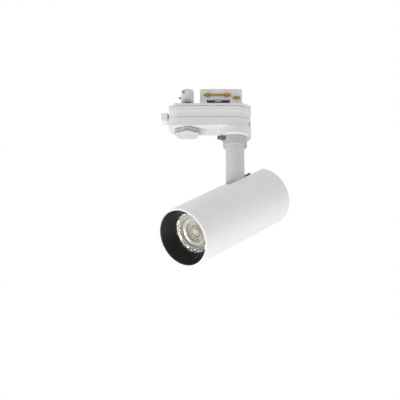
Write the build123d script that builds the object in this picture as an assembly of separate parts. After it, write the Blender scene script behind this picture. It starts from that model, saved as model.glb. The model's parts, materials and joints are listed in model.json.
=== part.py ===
"""Track spotlight: a cylindrical LED head on a stem that turns under a three-circuit track adapter.

Frame: millimetres, +Z up, +X along the track. The origin is on the pan axis, at the adapter's top face,
which lies against the underside of the track.
"""
from build123d import *
from math import acos, asin, cos, degrees, radians, sin, sqrt
import os

# ---- driving dimensions -------------------------------------------------------------------------
# attitude of the head at rest
PAN_HEADING = 225.0      # direction that the head faces, from +X towards +Y
TILT_DOWN = 30.0         # how far the head points below the horizontal

# adapter body
BODY_LEFT = -72.0        # left end, from the pan axis
BODY_RIGHT = 17.6        # right end
BODY_WIDTH = 33.0
LEFT_CORNER_R = 13.0
RIGHT_CORNER_R = 15.9
BODY_HEIGHT = 25.15      # top face to underside
PARTING = 16.0           # top face down to the line where the housings meet
SHOULDER = 9.0           # top face down to the chamfered step in the upper housing
SHOULDER_STEP = 0.5
GAP_LINE_H = 0.8         # shadow gaps round the housing, under the plate and at the parting
GAP_LINE_DEPTH = 1.2
PLATE_T = 2.0
PLATE_CORNER_X = 9.0
PLATE_CORNER_Y = 8.0
WALL = 2.0

# boss and pan bearing under the adapter
BOSS_R = 17.9
BOSS_DROP = 9.24
POCKET_R = 12.9          # room inside the boss for the washers and nut
POCKET_FLOOR = 30.0      # top face down to the pocket's floor
SPIGOT_R = 9.0
SPIGOT_DROP = 6.6
PAN_TRAVEL = 170.0       # each way from the heading that points along -X

# pan shaft, collar and stem
NIPPLE_R = 6.0
NIPPLE_BORE_R = 3.4
NIPPLE_TOP = 19.0        # top face down to the nipple's upper end
NIPPLE_IN_STEM = 6.6
COLLAR_R = 13.1
COLLAR_HEIGHT = 10.2
STEM_R = 10.1
STEM_FLAT = 9.0          # pan axis out to each flat beside the tilt hinge
FLAT_START = 4.1         # collar down to the top of the flats
STEM_BORE_R = 6.6
PIVOT_DROP = 104.9       # top face down to the tilt axis

# head
TUBE_R = 31.5
TUBE_WALL = 1.9
RIM_FILLET = 0.5
AXIS_BELOW_PIVOT = 11.1  # tilt axis to tube axis
FRONT_REACH = 97.7       # tilt axis to the front rim, along the tube
REAR_REACH = 49.8        # tilt axis to the rear face
LENS_R = 21.5            # clear opening in front of the lens
LENS_RECESS = 15.7       # front rim back to that opening
LENS_HEIGHT = 18.5

# tilt hinge
TILT_PIN_R = 3.0
EAR_T = 2.5
WASHER_T = 0.6

# selector knob and locking lever, both on one upright axis
KNOB_X = -51.7
KNOB_LOBE_R = 14.1
KNOB_FLUTE_R = 11.8
KNOB_FLUTE_CUT_R = 8.0
KNOB_LOBES = 5
KNOB_HEADING = 270.0     # direction of one lobe at rest
KNOB_HEIGHT = 5.8
SELECTOR_R = 2.5
SLEEVE_R = 4.2
LEVER_HEADING = 165.0    # direction of the lever when it is locked
LEVER_SWING = 90.0
LEVER_T = 5.0
LEVER_W = 9.0
TAB_INNER = 21.6         # knob axis out to the finger tab
TAB_T = 6.8
TAB_W = 12.0
TAB_TOP = 4.4            # top face down to the tab's upper edge
TAB_HEIGHT = 11.4

# lock linkage
REAR_CAM_X = -18.0
CAM_SHAFT_R = 3.0
CRANK_R = 10.0
CRANK_HEADING = 315.0    # direction of the crank pins when locked
CRANK_PIN_R = 1.5
CRANK_RIM = 1.2          # material round a crank pin
CRANK_PIN_PROUD = 1.0    # pin's end above the link
LINK_RIM = 1.4
REAR_CRANK_T = 3.0
LINK_T = 2.0
LINK_W = 4.4
CAM_SPAN = 24.0
CAM_W = 7.0
CAM_T = 3.0
CAM_BOTTOM = 4.0         # top face up to the cams, which grip the track's lips

# contact tongue, which enters the track
TONGUE_W = 16.0
TONGUE_LEFT = -66.0
TONGUE_RIGHT = 10.0
TONGUE_TOP = 20.0
TONGUE_LOW_TOP = 3.5     # height of the low part under the turret
TONGUE_TALL_LEFT = -38.0
TONGUE_WALL = 1.6
TURRET_R = 7.0
BLADE_REACH = 10.0       # knob axis out to the tips of the phase contacts

# fits
RUN_FIT = 0.05           # radial clearance of a shaft or pin that turns
SEAT_GAP = 0.3           # between faces of pieces that move past each other
CLOSE_FIT = 0.1          # radial clearance between pieces fixed together
SLOT_FIT = 0.4           # each side of the stem's flats, in the head's slot
SWEEP_FIT = 0.7          # round the stem's rounded end as the head tilts
LEVER_FIT = 0.8          # round the lever in its slot
OVERCUT = 1.0            # how far a cutting shape runs past what it cuts

# ---- places worked out from them ----------------------------------------------------------------
FAR = 400.0
BOSS_BOTTOM = -BODY_HEIGHT - BOSS_DROP
COLLAR_TOP = BOSS_BOTTOM - SEAT_GAP
COLLAR_BOTTOM = COLLAR_TOP - COLLAR_HEIGHT
SPIGOT_BOTTOM = BOSS_BOTTOM - SPIGOT_DROP
FLOOR_TOP = -BODY_HEIGHT + WALL
CEILING = -PLATE_T - WALL
TUBE_BORE_R = TUBE_R - TUBE_WALL
FIT_R = TUBE_BORE_R - CLOSE_FIT
TUBE_AXIS_Z = -AXIS_BELOW_PIVOT
SLOT_HALF = STEM_FLAT + SLOT_FIT
SLOT_FRONT = STEM_R + SLOT_FIT + CLOSE_FIT
SWEEP_BOTTOM = -STEM_R - SWEEP_FIT
OPENING_X = FRONT_REACH - LENS_RECESS
EAR_IN = STEM_FLAT + WASHER_T + 2 * RUN_FIT
EAR_OUT = EAR_IN + EAR_T
LEVER_BOTTOM = -PARTING + LEVER_FIT
LEVER_TOP = LEVER_BOTTOM + LEVER_T
LINK_BOTTOM = LEVER_TOP + SEAT_GAP
LINK_TOP = LINK_BOTTOM + LINK_T


# ---- shapes -------------------------------------------------------------------------------------
def disc(r, z0, z1, x=0.0, y=0.0):
    """Upright cylinder between two heights."""
    return Pos(x, y, (z0 + z1) / 2) * Cylinder(r, z1 - z0)


def ring(r_out, r_in, z0, z1, x=0.0, y=0.0):
    """Upright tube between two heights."""
    return disc(r_out, z0, z1, x, y) - disc(r_in, z0 - OVERCUT, z1 + OVERCUT, x, y)


def block(x0, x1, y0, y1, z0, z1):
    """Box between two corners."""
    return Pos((x0 + x1) / 2, (y0 + y1) / 2, (z0 + z1) / 2) * Box(x1 - x0, y1 - y0, z1 - z0)


def rod_x(r, x0, x1, y=0.0, z=0.0):
    """Cylinder along X."""
    return Pos((x0 + x1) / 2, y, z) * Rot(0, 90, 0) * Cylinder(r, x1 - x0)


def rod_y(r, y0, y1, x=0.0, z=0.0):
    """Cylinder along Y."""
    return Pos(x, (y0 + y1) / 2, z) * Rot(90, 0, 0) * Cylinder(r, y1 - y0)


def hexagon(across_flats, z0, z1):
    """Upright hexagonal prism."""
    return Pos(0, 0, z0) * extrude(RegularPolygon(across_flats / 2, 6, major_radius=False), z1 - z0)


def ring_sector(r_out, r_in, angle, height):
    """Part of a flat ring, from the +X direction round by angle."""
    corners = [(r_in, 0, 0), (r_out, 0, 0), (r_out, 0, height), (r_in, 0, height)]
    return revolve(make_face(Polyline(corners, close=True)), Axis.Z, angle)


def around_tube(points):
    """Solid turned about the tube's axis, from (along, radius) points."""
    face = make_face(Polyline([(x, 0, TUBE_AXIS_Z + r) for x, r in points], close=True))
    return revolve(face, Axis((0, 0, TUBE_AXIS_Z), (1, 0, 0)), 360)


def body_outline(inset):
    """Adapter outline seen from above, moved inwards by inset."""
    x0, x1 = BODY_LEFT + inset, BODY_RIGHT - inset
    sketch = Pos((x0 + x1) / 2, 0) * Rectangle(x1 - x0, BODY_WIDTH - 2 * inset)
    sketch = fillet(sketch.vertices().sort_by(Axis.X)[:2], LEFT_CORNER_R - inset)
    return fillet(sketch.vertices().sort_by(Axis.X)[-2:], RIGHT_CORNER_R - inset)


def body_slab(inset, z0, z1):
    return Pos(0, 0, z0) * extrude(body_outline(inset), z1 - z0)


def gap_line(z):
    """Band that is cut from the outside of the adapter to leave a shadow gap above z."""
    outside = body_slab(-OVERCUT, z, z + GAP_LINE_H)
    return outside - body_slab(GAP_LINE_DEPTH, z - OVERCUT, z + GAP_LINE_H + OVERCUT)


def lock_cam_bar(x):
    """Round-ended bar that lies across the track's lips when locked."""
    bar = block(x - CAM_W / 2, x + CAM_W / 2, -CAM_SPAN, CAM_SPAN, CAM_BOTTOM, CAM_BOTTOM + CAM_T)
    return bar & disc(CAM_SPAN / 2, CAM_BOTTOM, CAM_BOTTOM + CAM_T, x)


def crank(x, hub_r, z0, z1):
    """Hub with an arm that carries the link's pin."""
    arm = Box(CRANK_R, 2 * (CRANK_PIN_R + CRANK_RIM), z1 - z0)
    arm = Pos(x, 0, (z0 + z1) / 2) * Rot(0, 0, CRANK_HEADING) * Pos(CRANK_R / 2, 0, 0) * arm
    end_x, end_y = crank_pin_place(x)
    end = disc(CRANK_PIN_R + CRANK_RIM, z0, z1, end_x, end_y)
    pin = disc(CRANK_PIN_R, z1, LINK_TOP + CRANK_PIN_PROUD, end_x, end_y)
    return disc(hub_r, z0, z1, x) + arm + end + pin


def crank_pin_place(x):
    return x + CRANK_R * cos(radians(CRANK_HEADING)), CRANK_R * sin(radians(CRANK_HEADING))


POST_R = 2.6
SCREW_R = 1.2
SCREW_HEAD_R = 2.2
SCREW_HEAD_T = 1.4
SCREW_LENGTH = 11.0
CROSS_R = 1.4            # recess in a screw's head
CROSS_W = 0.6
CROSS_DEPTH = 0.8
LEFT_POST_IN = 7.2       # left end to the left post
LEFT_POST_Y = -7.9
MIDDLE_X = -33.0         # middle post and the terminals
POSTS = [
    (BODY_LEFT + LEFT_POST_IN, LEFT_POST_Y),
    (MIDDLE_X, BODY_WIDTH / 2 - WALL - POST_R - CLOSE_FIT),
    (BODY_RIGHT - WALL - POST_R - SEAT_GAP, 0.0),
]
BOSS_FILLET = 0.8
SELECTOR_POST_R = 8.0
CAM_SPIGOT_R = 2.0
CAM_SPIGOT_L = 6.0
CAM_SPIGOT_END = 0.5     # room under the spigot
CAM_POST_WALL = 2.0
STOP_W = 1.6
STOP_IN_R = 11.2
STOP_H = 1.2
RELEASE_R = 2.0
RELEASE_TURN = -27.0     # place of the release hole round the right end
RELEASE_DROP = 20.9
LEAD_HOLE_LEFT = -10.0   # opening for the leads from the tongue
LEAD_HOLE_RIGHT = 4.0
LEAD_HOLE_W = 8.0
LEVER_SLOT_IN_R = 12.0
LEVER_SLOT_OUT_R = 40.0
LEVER_SLOT_EXTRA = 1.2   # slot's height over the lever's


# ---- adapter ------------------------------------------------------------------------------------
def lower_housing():
    """Tray with the boss, the pan bearing and the posts that the lock, selector and screws use."""
    tray = body_slab(0, -BODY_HEIGHT, -PARTING) + disc(BOSS_R, BOSS_BOTTOM, -BODY_HEIGHT)
    tray = fillet(tray.edges().group_by(Axis.Z)[0], BOSS_FILLET)
    tray -= body_slab(WALL, FLOOR_TOP, 0)
    tray -= disc(POCKET_R, -POCKET_FLOOR, 0)
    tray += disc(SPIGOT_R, SPIGOT_BOTTOM, BOSS_BOTTOM + WALL / 2)
    root = FLOOR_TOP - WALL / 2
    tray += disc(SELECTOR_POST_R, root, LEVER_BOTTOM - SEAT_GAP, KNOB_X)
    cam_seat = LEVER_TOP - REAR_CRANK_T - SEAT_GAP
    tray += disc(CAM_SPIGOT_R + CAM_POST_WALL, root, cam_seat, REAR_CAM_X)
    for x, y in POSTS:
        tray += disc(POST_R, root, CEILING, x, y)
    tray -= disc(CAM_SPIGOT_R + RUN_FIT, cam_seat - CAM_SPIGOT_L - CAM_SPIGOT_END, 0, REAR_CAM_X)
    for x, y in POSTS:
        tray -= disc(SCREW_R + CLOSE_FIT, CEILING - SCREW_LENGTH, 0, x, y)
    tray -= disc(SELECTOR_R + RUN_FIT, -FAR, 0, KNOB_X)
    tray -= disc(NIPPLE_R + RUN_FIT, -FAR, 0)
    z0, z1 = -POCKET_FLOOR - WALL / 2, -POCKET_FLOOR + STOP_H
    tray += block(STOP_IN_R, POCKET_R + WALL / 2, -STOP_W / 2, STOP_W / 2, z0, z1)
    release_hole = rod_x(RELEASE_R, POCKET_R, BODY_RIGHT + OVERCUT, 0, -RELEASE_DROP)
    return tray - Rot(0, 0, RELEASE_TURN) * release_hole


def upper_housing():
    """Cap over the tray, with the lever's slot round its left end."""
    upper = body_slab(0, -SHOULDER, -PLATE_T)
    upper = chamfer(upper.edges().group_by(Axis.Z)[0], SHOULDER_STEP)
    cap = upper + body_slab(SHOULDER_STEP, -PARTING, -SHOULDER)
    cap -= gap_line(-PARTING) + gap_line(-PLATE_T - GAP_LINE_H)
    cap -= body_slab(WALL, -PARTING - OVERCUT, CEILING)
    cap -= disc(SLEEVE_R + RUN_FIT, -FAR, 0, KNOB_X)
    cap -= disc(CAM_SHAFT_R + RUN_FIT, -FAR, 0, REAR_CAM_X)
    for x, y in POSTS:
        cap -= disc(SCREW_R + CLOSE_FIT, -FAR, 0, x, y)
        cap -= disc(SCREW_HEAD_R + CLOSE_FIT, -PLATE_T - SCREW_HEAD_T, 0, x, y)
    cap -= block(LEAD_HOLE_LEFT, LEAD_HOLE_RIGHT, -LEAD_HOLE_W / 2, LEAD_HOLE_W / 2, CEILING - OVERCUT, 0)
    half_arm = degrees(asin((LEVER_W / 2 + LEVER_FIT) / (BODY_WIDTH / 2 - WALL)))
    start = LEVER_HEADING - LEVER_SWING - half_arm
    sweep = LEVER_SWING + 2 * half_arm
    height = LEVER_FIT + LEVER_T + LEVER_SLOT_EXTRA / 2 + OVERCUT
    wedge = Rot(0, 0, start) * ring_sector(LEVER_SLOT_OUT_R, LEVER_SLOT_IN_R, sweep, height)
    return cap - Pos(KNOB_X, 0, -PARTING - OVERCUT) * wedge


def cover_plate():
    """Flat plate against the track, open round the tongue."""
    x0, x1, y = BODY_LEFT, BODY_RIGHT, BODY_WIDTH / 2
    cx, cy = PLATE_CORNER_X, PLATE_CORNER_Y
    points = [
        (x0 + cx, -y), (x1 - cx, -y), (x1, -y + cy), (x1, y - cy),
        (x1 - cx, y), (x0 + cx, y), (x0, y - cy), (x0, -y + cy),
    ]
    plate = Pos(0, 0, -PLATE_T) * extrude(make_face(Polyline(points, close=True)), PLATE_T)
    half = TONGUE_W / 2 + CLOSE_FIT
    x0, x1 = TONGUE_LEFT - CLOSE_FIT, TONGUE_RIGHT + CLOSE_FIT
    return plate - block(x0, x1, -half, half, -PLATE_T - OVERCUT, OVERCUT)


TONGUE_TALL_RIGHT = TONGUE_RIGHT - 2.0
TONGUE_CORNER_R = 1.5
CAM_SLOT_FIT = 0.5       # past the rear cam's tips when it turns
STRIP_T = 0.6            # thickness of the sprung contacts
STRIP_PROUD = 2.5        # how far they stand out of the tongue
NEUTRAL_X = (-34.0, -4.0)
NEUTRAL_BUMPS = (-29.0, -9.0)
NEUTRAL_Z = (11.5, 14.5)
NEUTRAL_BUMP_R = 3.0
EARTH_X = (-2.0, 6.0)
EARTH_Z = (8.5, 11.0)
EARTH_BUMP_R = 2.2


def contact_tongue():
    """Insulating tongue that enters the track: low under the turret, tall and hollow beside it."""
    half, w = TONGUE_W / 2, TONGUE_WALL
    low = block(TONGUE_LEFT, TONGUE_RIGHT, -half, half, -PLATE_T, TONGUE_LOW_TOP)
    tall = block(TONGUE_TALL_LEFT, TONGUE_TALL_RIGHT, -half, half, TONGUE_LOW_TOP - w, TONGUE_TOP)
    tall = fillet(tall.edges().filter_by(Axis.Z), TONGUE_CORNER_R)
    tongue = low + tall
    x0, x1 = TONGUE_TALL_LEFT + w, TONGUE_TALL_RIGHT - w
    tongue -= block(x0, x1, -half + w, half - w, -PLATE_T - OVERCUT, TONGUE_TOP - w)
    reach = CAM_SPAN / 2 + CAM_SLOT_FIT
    z0, z1 = CAM_BOTTOM - SEAT_GAP, CAM_BOTTOM + CAM_T + SEAT_GAP
    tongue -= block(REAR_CAM_X - reach, REAR_CAM_X + reach, -half - OVERCUT, half + OVERCUT, z0, z1)
    tongue -= disc(SLEEVE_R + RUN_FIT, -FAR, FAR, KNOB_X)
    return tongue - neutral_strip(CLOSE_FIT)


def neutral_strip(clear):
    """Sprung strip let into the near flank of the tongue."""
    y, (x0, x1), (z0, z1) = -TONGUE_W / 2, NEUTRAL_X, NEUTRAL_Z
    strip = block(x0 - clear, x1 + clear, y, y + STRIP_T, z0 - clear, z1 + clear)
    for x in NEUTRAL_BUMPS:
        bump = disc(NEUTRAL_BUMP_R, z0, z1, x, y + STRIP_T)
        strip += bump & block(x0, x1, y - STRIP_PROUD, y + STRIP_T, z0, z1)
    return strip


def neutral_contact():
    return neutral_strip(0)


def earth_contacts():
    """Two sprung pads on the flanks, which touch the track's earthed lips."""
    y, (x0, x1), (z0, z1) = TONGUE_W / 2, EARTH_X, EARTH_Z
    pad = block(x0, x1, y, y + STRIP_T, z0, z1)
    pad += disc(EARTH_BUMP_R, z0, z1, (x0 + x1) / 2, y) & block(x0, x1, y, y + STRIP_PROUD, z0, z1)
    return pad + mirror(pad, Plane.XZ)


def housing_screws():
    screws = []
    for x, y in POSTS:
        head = disc(SCREW_HEAD_R, -PLATE_T - SCREW_HEAD_T, -PLATE_T, x, y)
        a, b, z = CROSS_R, CROSS_W / 2, -PLATE_T - CROSS_DEPTH
        cross = block(x - a, x + a, y - b, y + b, z, 0) + block(x - b, x + b, y - a, y + a, z, 0)
        screws.append(head + disc(SCREW_R, -PLATE_T - SCREW_LENGTH, -PLATE_T - SCREW_HEAD_T, x, y) - cross)
    return Compound(children=screws)


TERMINAL_HALF = 7.0
TERMINAL_H = 8.5
TERMINAL_Y = 1.0
TERMINAL_PITCH = 4.4
TERMINAL_WAYS = [TERMINAL_Y + TERMINAL_PITCH * i for i in (-1, 0, 1)]
WIRE_HOLE_R = 1.2
WIRE_HOLE_H = 3.0        # tray's floor up to the wire holes
CLAMP_R = 1.4
CLAMP_BOTTOM = 4.5
CLAMP_TOP = 7.6
CLAMP_SLOT_W = 0.5
CLAMP_SLOT_DEPTH = 0.7


def terminal_block():
    """Screw terminals for the incoming leads, standing on the tray's floor."""
    x0, x1 = MIDDLE_X - TERMINAL_HALF, MIDDLE_X + TERMINAL_HALF
    y0, y1 = TERMINAL_Y - TERMINAL_HALF, TERMINAL_Y + TERMINAL_HALF
    body = block(x0, x1, y0, y1, FLOOR_TOP, FLOOR_TOP + TERMINAL_H)
    for y in TERMINAL_WAYS:
        body -= rod_x(WIRE_HOLE_R, x0 - OVERCUT, x1 + OVERCUT, y, FLOOR_TOP + WIRE_HOLE_H)
        body -= disc(CLAMP_R + CLOSE_FIT, FLOOR_TOP + CLAMP_BOTTOM, 0, MIDDLE_X, y)
    return body


def terminal_screws():
    screws = []
    for y in TERMINAL_WAYS:
        top = FLOOR_TOP + CLAMP_TOP
        half = CLAMP_SLOT_W / 2
        slot = block(-FAR, FAR, y - half, y + half, top - CLAMP_SLOT_DEPTH, top + OVERCUT)
        screws.append(disc(CLAMP_R, FLOOR_TOP + CLAMP_BOTTOM, top, MIDDLE_X, y) - slot)
    return Compound(children=screws)


# ---- lock: lever, cams and link -----------------------------------------------------------------
LEVER_HUB_WALL = 3.0
TAB_LOWER_R = 5.0
TAB_UPPER_R = 1.5
TAB_FACE_R = 1.2


def locking_lever():
    """Moulded lever: hub, crank pin, arm and finger tab."""
    lever = crank(KNOB_X, SLEEVE_R + LEVER_HUB_WALL, LEVER_BOTTOM, LEVER_TOP)
    arm = block(0, TAB_INNER + TAB_FACE_R, -LEVER_W / 2, LEVER_W / 2, LEVER_BOTTOM, LEVER_TOP)
    tab = block(TAB_INNER, TAB_INNER + TAB_T, -TAB_W / 2, TAB_W / 2, -TAB_TOP - TAB_HEIGHT, -TAB_TOP)
    tab = fillet(tab.edges().filter_by(Axis.X).group_by(Axis.Z)[0], TAB_LOWER_R)
    tab = fillet(tab.edges().filter_by(Axis.X).group_by(Axis.Z)[-1], TAB_UPPER_R)
    tab = fillet(tab.faces().sort_by(Axis.X)[-1].edges(), TAB_FACE_R)
    lever += Pos(KNOB_X, 0, 0) * Rot(0, 0, LEVER_HEADING) * (arm + tab)
    return lever - disc(SLEEVE_R + CLOSE_FIT, -FAR, FAR, KNOB_X)


def lock_cam():
    """Metal sleeve in the lever's hub, with the front cam at its top."""
    cam = disc(SLEEVE_R, LEVER_BOTTOM, CAM_BOTTOM + CAM_T / 2, KNOB_X) + lock_cam_bar(KNOB_X)
    return cam - disc(SELECTOR_R + RUN_FIT, -FAR, FAR, KNOB_X)


def rear_lock_cam():
    """Second cam on its own shaft, driven by the link."""
    bottom = LEVER_TOP - REAR_CRANK_T
    cam = crank(REAR_CAM_X, CAM_SHAFT_R + CAM_POST_WALL, bottom, LEVER_TOP)
    cam += disc(CAM_SHAFT_R, LEVER_TOP, CAM_BOTTOM + CAM_T / 2, REAR_CAM_X) + lock_cam_bar(REAR_CAM_X)
    return cam + disc(CAM_SPIGOT_R, bottom - SEAT_GAP - CAM_SPIGOT_L, bottom, REAR_CAM_X)


def lock_link():
    """Flat bar from one crank pin to the other."""
    ax, ay = crank_pin_place(KNOB_X)
    bx, by = crank_pin_place(REAR_CAM_X)
    bar = block(ax, bx, ay - LINK_W / 2, by + LINK_W / 2, LINK_BOTTOM, LINK_TOP)
    for x, y in ((ax, ay), (bx, by)):
        bar += disc(CRANK_PIN_R + LINK_RIM, LINK_BOTTOM, LINK_TOP, x, y)
    for x, y in ((ax, ay), (bx, by)):
        bar -= disc(CRANK_PIN_R + RUN_FIT, -FAR, FAR, x, y)
    return bar


# ---- circuit selector ---------------------------------------------------------------------------
KNOB_TOP = -BODY_HEIGHT - SEAT_GAP
KNOB_BOTTOM = KNOB_TOP - KNOB_HEIGHT
KNOB_SOCKET = 4.0        # shaft's depth in the knob
KNOB_LOBE_FILLET = 1.4
KNOB_EDGE_FILLET = 0.9
TURRET_BOTTOM = CAM_BOTTOM + CAM_T + 2 * SEAT_GAP
TURRET_TOP = TONGUE_TOP + 1.0
TURRET_LID = 2.0         # turret's top above the shaft's end
TURRET_FILLET = 1.0
BLADE_ROOT = 1.5         # shaft's side out to the blades' inner ends
BLADE_W = 2.2
BLADE_T = 1.6
BLADE_FILLET = 0.6
BLADE_ANGLE = 360.0 / KNOB_LOBES
BLADE_HEIGHTS = (10.0, 13.5, 17.0)


def selector_knob():
    """Five-lobed knob under the adapter."""
    knob = disc(KNOB_LOBE_R, KNOB_BOTTOM, KNOB_TOP)
    flute_x = KNOB_FLUTE_R + KNOB_FLUTE_CUT_R
    for i in range(KNOB_LOBES):
        turn = Rot(0, 0, KNOB_HEADING + 360 / KNOB_LOBES * (i + 0.5))
        knob -= turn * disc(KNOB_FLUTE_CUT_R, KNOB_BOTTOM - OVERCUT, KNOB_TOP + OVERCUT, flute_x)
    knob = fillet(knob.edges().filter_by(Axis.Z), KNOB_LOBE_FILLET)
    knob = fillet(knob.edges().group_by(Axis.Z)[0], KNOB_EDGE_FILLET)
    socket = disc(SELECTOR_R + CLOSE_FIT, KNOB_TOP - KNOB_SOCKET, KNOB_TOP + OVERCUT)
    return Pos(KNOB_X, 0, 0) * (knob - socket)


def selector_shaft():
    return disc(SELECTOR_R, KNOB_TOP - KNOB_SOCKET, TURRET_TOP - TURRET_LID, KNOB_X)


def phase_blade(i, clear):
    """One of the turret's contacts, at its own height and angle."""
    z, half_w, half_t = BLADE_HEIGHTS[i], BLADE_W / 2 + clear, BLADE_T / 2 + clear
    blade = block(SELECTOR_R + BLADE_ROOT, BLADE_REACH, -half_w, half_w, z - half_t, z + half_t)
    blade = fillet(blade.edges().filter_by(Axis.Y).group_by(Axis.X)[-1], BLADE_FILLET)
    return Pos(KNOB_X, 0, 0) * Rot(0, 0, 90 + i * BLADE_ANGLE) * blade


def contact_turret():
    """Insulating drum above the front cam, turned by the knob."""
    drum = disc(TURRET_R, TURRET_BOTTOM, TURRET_TOP, KNOB_X)
    drum = fillet(drum.edges().group_by(Axis.Z)[-1], TURRET_FILLET)
    drum -= disc(SELECTOR_R + CLOSE_FIT, -FAR, TURRET_TOP - TURRET_LID + CLOSE_FIT, KNOB_X)
    for i in range(len(BLADE_HEIGHTS)):
        drum -= phase_blade(i, RUN_FIT)
    return drum


def phase_contacts():
    return Compound(children=[phase_blade(i, 0) for i in range(len(BLADE_HEIGHTS))])


# ---- pan assembly, built facing +X --------------------------------------------------------------
COLLAR_FILLET = 1.0
STOP_WASHER_T = 1.0
STOP_WASHER_R = 10.3
STOP_TAB_GAP = 0.4       # stop washer's tab to the pocket's wall
SPRING_WASHER_T = 1.4
SPRING_WASHER_R = 10.0
SPRING_STRIP_T = 0.7
SPRING_BOTTOM = -POCKET_FLOOR + RUN_FIT + STOP_WASHER_T
NUT_T = 6.0
NUT_FLATS = 16.0
LEAD_R = 2.6
LOCK_SCREW_HEADING = -15.0
LOCK_SCREW_R = 1.5
LOCK_SCREW_DROP = 2.6    # collar's top down to the lock screw
LOCK_SCREW_REACH = 21.0
LOCK_NUT_R = 2.1         # thin nut against the collar
LOCK_NUT_START = 0.3
LOCK_NUT_T = 2.7
LOCK_HEAD_R = 2.2
LOCK_HEAD_L = 3.6
STEM_TOP = COLLAR_BOTTOM
FLAT_TOP = COLLAR_BOTTOM - FLAT_START
EYE_WALL = 2.0           # between the eye's round and the stem's bore
EYE_TOP = -PIVOT_DROP + STEM_R + EYE_WALL
NIPPLE_SEAT = 1.5        # stem's shoulder under the nipple
LEAD_EXIT_FIT = 0.4
LEAD_PROUD = 3.0         # lead's end above the nipple


def collar():
    """Cup that turns round the boss's spigot above the stem."""
    cup = disc(COLLAR_R, COLLAR_BOTTOM, COLLAR_TOP)
    cup = fillet(cup.edges().group_by(Axis.Z)[0], COLLAR_FILLET)
    cup -= disc(SPIGOT_R + RUN_FIT, SPIGOT_BOTTOM - SEAT_GAP, 0)
    cup -= disc(NIPPLE_R + CLOSE_FIT, -FAR, 0)
    hole = rod_x(LOCK_SCREW_R + CLOSE_FIT, 0, FAR, 0, COLLAR_TOP - LOCK_SCREW_DROP)
    return cup - Rot(0, 0, LOCK_SCREW_HEADING) * hole


def pan_lock_screw():
    """Headed screw that pinches the collar on the spigot."""
    z = COLLAR_TOP - LOCK_SCREW_DROP
    screw = rod_x(LOCK_SCREW_R, SPIGOT_R + SEAT_GAP, LOCK_SCREW_REACH, 0, z)
    nut_start = COLLAR_R + LOCK_NUT_START
    screw += rod_x(LOCK_NUT_R, nut_start, nut_start + LOCK_NUT_T, 0, z)
    screw += rod_x(LOCK_HEAD_R, LOCK_SCREW_REACH - LOCK_HEAD_L, LOCK_SCREW_REACH, 0, z)
    return Rot(0, 0, LOCK_SCREW_HEADING) * screw


def stem():
    """Tubular stem with two flats and a round eye for the tilt pin."""
    bar = disc(STEM_R, -PIVOT_DROP, STEM_TOP)
    tip = rod_y(STEM_R, -STEM_R, STEM_R, 0, -PIVOT_DROP) & disc(STEM_R, -PIVOT_DROP - STEM_R, -PIVOT_DROP)
    bar += tip
    for side in (-1, 1):
        out = STEM_R + OVERCUT
        flat = block(-out, out, STEM_FLAT, out + STEM_FLAT, -PIVOT_DROP - out, FLAT_TOP)
        bar -= flat if side > 0 else mirror(flat, Plane.XZ)
    bar -= disc(NIPPLE_R + RUN_FIT, STEM_TOP - NIPPLE_IN_STEM - RUN_FIT, STEM_TOP + OVERCUT)
    bar -= disc(STEM_BORE_R, EYE_TOP, STEM_TOP - NIPPLE_IN_STEM - NIPPLE_SEAT)
    bar -= disc(NIPPLE_BORE_R, EYE_TOP, STEM_TOP)
    exit_r = LEAD_R + LEAD_EXIT_FIT
    bar -= rod_x(exit_r, -STEM_R - OVERCUT, 0, 0, EYE_TOP + exit_r + EYE_WALL / 2)
    return bar - rod_y(TILT_PIN_R + RUN_FIT, -FAR, FAR, 0, -PIVOT_DROP)


def pan_nipple():
    """Hollow pan shaft through the boss, fixed in the stem's top."""
    return ring(NIPPLE_R, NIPPLE_BORE_R, STEM_TOP - NIPPLE_IN_STEM, -NIPPLE_TOP)


def stop_washer():
    """Washer whose tab meets the fixed stop at each end of the pan."""
    z0, z1 = SPRING_BOTTOM - STOP_WASHER_T, SPRING_BOTTOM
    washer = disc(STOP_WASHER_R, z0, z1)
    tab = block(NIPPLE_R + WALL, POCKET_R - STOP_TAB_GAP, -STOP_W / 2, STOP_W / 2, z0, z1)
    return washer + tab - disc(NIPPLE_R + CLOSE_FIT, -FAR, FAR)


def spring_washer():
    """Dished washer that keeps the pan joint stiff."""
    top, t, r = SPRING_BOTTOM + SPRING_WASHER_T, SPRING_STRIP_T, NIPPLE_R + CLOSE_FIT
    rim, bottom = SPRING_WASHER_R, SPRING_BOTTOM
    corners = [(r, 0, top - t), (r, 0, top), (rim, 0, bottom + t), (rim, 0, bottom)]
    return revolve(make_face(Polyline(corners, close=True)), Axis.Z, 360)


def pan_nut():
    bottom = SPRING_BOTTOM + SPRING_WASHER_T
    return hexagon(NUT_FLATS, bottom, bottom + NUT_T) - disc(NIPPLE_R + RUN_FIT, -FAR, FAR)


def stem_lead():
    """Insulated lead down the middle of the nipple and stem."""
    return disc(LEAD_R, EYE_TOP + SEAT_GAP, -NIPPLE_TOP + LEAD_PROUD)


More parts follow.
